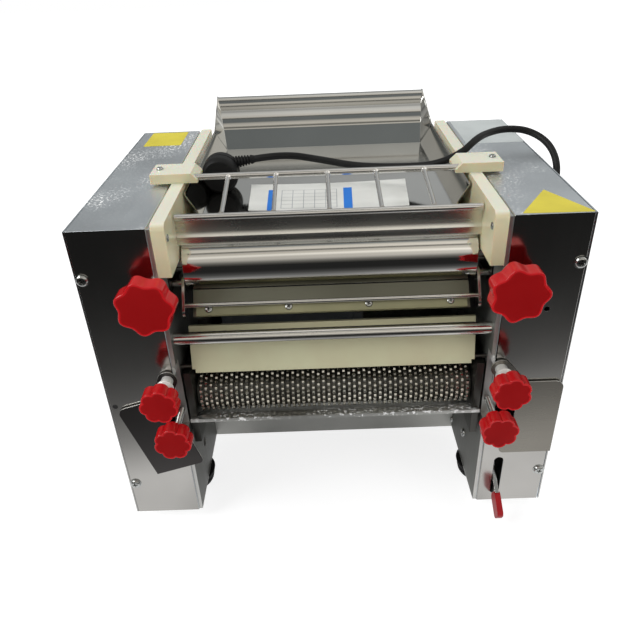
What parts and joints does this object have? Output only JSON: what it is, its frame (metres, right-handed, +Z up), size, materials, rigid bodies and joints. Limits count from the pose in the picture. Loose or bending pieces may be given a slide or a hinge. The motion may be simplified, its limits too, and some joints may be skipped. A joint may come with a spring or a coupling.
{
  "type": "electric dough sheeter and noodle cutter",
  "caption": "Free-standing electric pasta machine: two housings carry a guarded pair of dough rollers fed by a steel chute, ringed noodle cutters below, star knobs and a clutch lever",
  "frame": {"origin": "on the floor, under the middle of the machine's width and depth", "axes": "+X to the operator's right, +Y to the back, +Z up"},
  "size_m": [0.4512, 0.4145, 0.369],
  "materials": {
    "dark_stainless": "mirror-polished dark stainless on the fronts, brushed on top",
    "frame_steel": "ground steel, satin",
    "polished_stainless": "polished stainless sheet",
    "mirror_chrome": "mirror chrome",
    "cream_nylon": "machined cream nylon, glossy",
    "red_plastic": "red moulded plastic, satin gloss",
    "screw_steel": "bright plated steel",
    "black_rubber": "matt black rubber",
    "cord_black": "black flexible plastic, satin",
    "black_plastic": "black moulded plastic",
    "gear_steel": "oiled machined steel",
    "cast_pulley": "cast iron, turned rims",
    "bronze": "sintered bronze",
    "motor_grey": "grey enamel"
  },
  "bodies": {
    "root": {"frame_plate_left": "frame_steel", "frame_plate_right": "frame_steel", "bearing_bushes": "bronze", "tie_rods": "frame_steel", "casing_left": "dark_stainless", "casing_right": "dark_stainless", "side_cover_left": "dark_stainless", "side_cover_right": "dark_stainless", "casing_screws": "screw_steel", "base_pan": "frame_steel", "rubber_feet": "black_rubber", "hopper_side_left": "cream_nylon", "hopper_side_right": "cream_nylon", "trim_screws": "screw_steel", "hopper_front_strip": "polished_stainless", "guard_brackets": "cream_nylon", "dough_chute": "polished_stainless", "rear_scraper": "frame_steel", "guide_plate": "cream_nylon", "cutter_end_plates": "frame_steel", "apron": "polished_stainless", "motor_shell": "motor_grey", "motor_end_caps": "motor_grey", "flap_collars": "frame_steel", "switch_frame": "black_plastic", "cord_gland": "cord_black", "plug": "cord_black", "cord": "cord_black", "cutter_belt": "black_rubber", "drive_belt": "black_rubber"},
    "guard": {"wire_guard": "frame_steel"},
    "carriage": {"bearing_blocks": "frame_steel", "front_scraper_blade": "frame_steel", "front_scraper_bar": "cream_nylon", "scraper_screws": "screw_steel", "scraper_frame": "frame_steel"},
    "front_roller": {"front_roller": "mirror_chrome", "front_roller_gear": "gear_steel"},
    "rear_roller": {"rear_roller": "mirror_chrome", "cluster_gear": "gear_steel", "cutter_drive_pulley": "cast_pulley"},
    "countershaft": {"pinion_shaft": "gear_steel", "big_pulley": "cast_pulley"},
    "motor_rotor": {"motor_rotor": "gear_steel", "motor_pulley": "cast_pulley"},
    "cutter_front": {"cutter_roller_front": "mirror_chrome", "cutter_pulley": "cast_pulley"},
    "cutter_rear": {"cutter_roller_rear": "mirror_chrome"},
    "clutch_lever": {"clutch_lever": "polished_stainless", "lever_grip": "red_plastic"},
    "jockey": {"jockey_wheel": "black_plastic"},
    "gap_knob_left": {"gap_knob_left": "red_plastic"},
    "gap_knob_right": {"gap_knob_right": "red_plastic"},
    "clamp_knob_mid_left": {"clamp_knob_mid_left": "red_plastic"},
    "clamp_knob_mid_right": {"clamp_knob_mid_right": "red_plastic"},
    "clamp_knob_low_left": {"clamp_knob_low_left": "red_plastic"},
    "clamp_knob_low_right": {"clamp_knob_low_right": "red_plastic"},
    "flap_left": {"flap_left": "dark_stainless"},
    "flap_right": {"flap_right": "dark_stainless"},
    "switch_rocker": {"switch_rocker": "black_plastic"}
  },
  "joints": [
    {"name": "rear_roller_spin", "type": "hinge", "parent": "root", "child": "rear_roller", "pos_m": [0, -0.0392, 0.284], "axis": [1, 0, 0], "continuous": true},
    {"name": "carriage_slide", "type": "slide", "parent": "root", "child": "carriage", "axis": [0, -1, 0], "range_m": [0, 0.0045]},
    {"name": "front_roller_spin", "type": "hinge", "parent": "carriage", "child": "front_roller", "pos_m": [0, -0.096, 0.284], "axis": [1, 0, 0], "continuous": true},
    {"name": "countershaft_spin", "type": "hinge", "parent": "root", "child": "countershaft", "pos_m": [-0.19, 0.01155, 0.24141], "axis": [1, 0, 0], "continuous": true},
    {"name": "motor_spin", "type": "hinge", "parent": "root", "child": "motor_rotor", "pos_m": [-0.045, 0.062, 0.105], "axis": [1, 0, 0], "continuous": true},
    {"name": "cutter_front_spin", "type": "hinge", "parent": "root", "child": "cutter_front", "pos_m": [0, -0.117, 0.15], "axis": [1, 0, 0], "continuous": true},
    {"name": "cutter_rear_spin", "type": "hinge", "parent": "root", "child": "cutter_rear", "pos_m": [0, -0.077, 0.15], "axis": [1, 0, 0], "continuous": true},
    {"name": "gap_knob_left_spin", "type": "hinge", "parent": "carriage", "child": "gap_knob_left", "pos_m": [-0.151, -0.171, 0.284], "axis": [0, -1, 0], "range_deg": [0, 1080]},
    {"name": "gap_knob_right_spin", "type": "hinge", "parent": "carriage", "child": "gap_knob_right", "pos_m": [0.151, -0.171, 0.284], "axis": [0, -1, 0], "range_deg": [0, 1080]},
    {"name": "clamp_knob_mid_left_spin", "type": "hinge", "parent": "root", "child": "clamp_knob_mid_left", "pos_m": [-0.1535, -0.178, 0.191], "axis": [0, -1, 0], "range_deg": [-90, 1080]},
    {"name": "clamp_knob_mid_right_spin", "type": "hinge", "parent": "root", "child": "clamp_knob_mid_right", "pos_m": [0.1535, -0.178, 0.191], "axis": [0, -1, 0], "range_deg": [-90, 1080]},
    {"name": "clamp_knob_low_left_spin", "type": "hinge", "parent": "root", "child": "clamp_knob_low_left", "pos_m": [-0.1495, -0.178, 0.144], "axis": [0, -1, 0], "range_deg": [-90, 1080]},
    {"name": "clamp_knob_low_right_spin", "type": "hinge", "parent": "root", "child": "clamp_knob_low_right", "pos_m": [0.1495, -0.178, 0.144], "axis": [0, -1, 0], "range_deg": [-90, 1080]},
    {"name": "flap_left_swing", "type": "hinge", "parent": "root", "child": "flap_left", "pos_m": [-0.1535, -0.15525, 0.191], "axis": [0, -1, 0], "range_deg": [-16.5, 7]},
    {"name": "flap_right_swing", "type": "hinge", "parent": "root", "child": "flap_right", "pos_m": [0.1535, -0.15525, 0.191], "axis": [0, -1, 0], "range_deg": [-22, 0]},
    {"name": "guard_hinge", "type": "hinge", "parent": "root", "child": "guard", "pos_m": [0, -0.0485, 0.3465], "axis": [-1, 0, 0], "range_deg": [0, 95]},
    {"name": "clutch_lever_pivot", "type": "hinge", "parent": "root", "child": "clutch_lever", "pos_m": [0.1655, -0.053, 0.0961], "axis": [-1, 0, 0], "range_deg": [0, 14]},
    {"name": "jockey_spin", "type": "hinge", "parent": "clutch_lever", "child": "jockey", "pos_m": [0.186, -0.08606, 0.22162], "axis": [1, 0, 0], "continuous": true},
    {"name": "switch_rock", "type": "hinge", "parent": "root", "child": "switch_rocker", "pos_m": [0.19, 0.138, 0.19], "axis": [1, 0, 0], "range_deg": [0, 20]}
  ],
  "couplings": [
    {"joint": "front_roller_spin", "follows": "rear_roller_spin", "ratio": -1},
    {"joint": "countershaft_spin", "follows": "rear_roller_spin", "ratio": -2.5333},
    {"joint": "motor_spin", "follows": "rear_roller_spin", "ratio": -7.6},
    {"joint": "cutter_rear_spin", "follows": "cutter_front_spin", "ratio": -1},
    {"joint": "gap_knob_left_spin", "follows": "carriage_slide", "rad_per_m": 4188.8},
    {"joint": "gap_knob_right_spin", "follows": "carriage_slide", "rad_per_m": 4188.8}
  ]
}
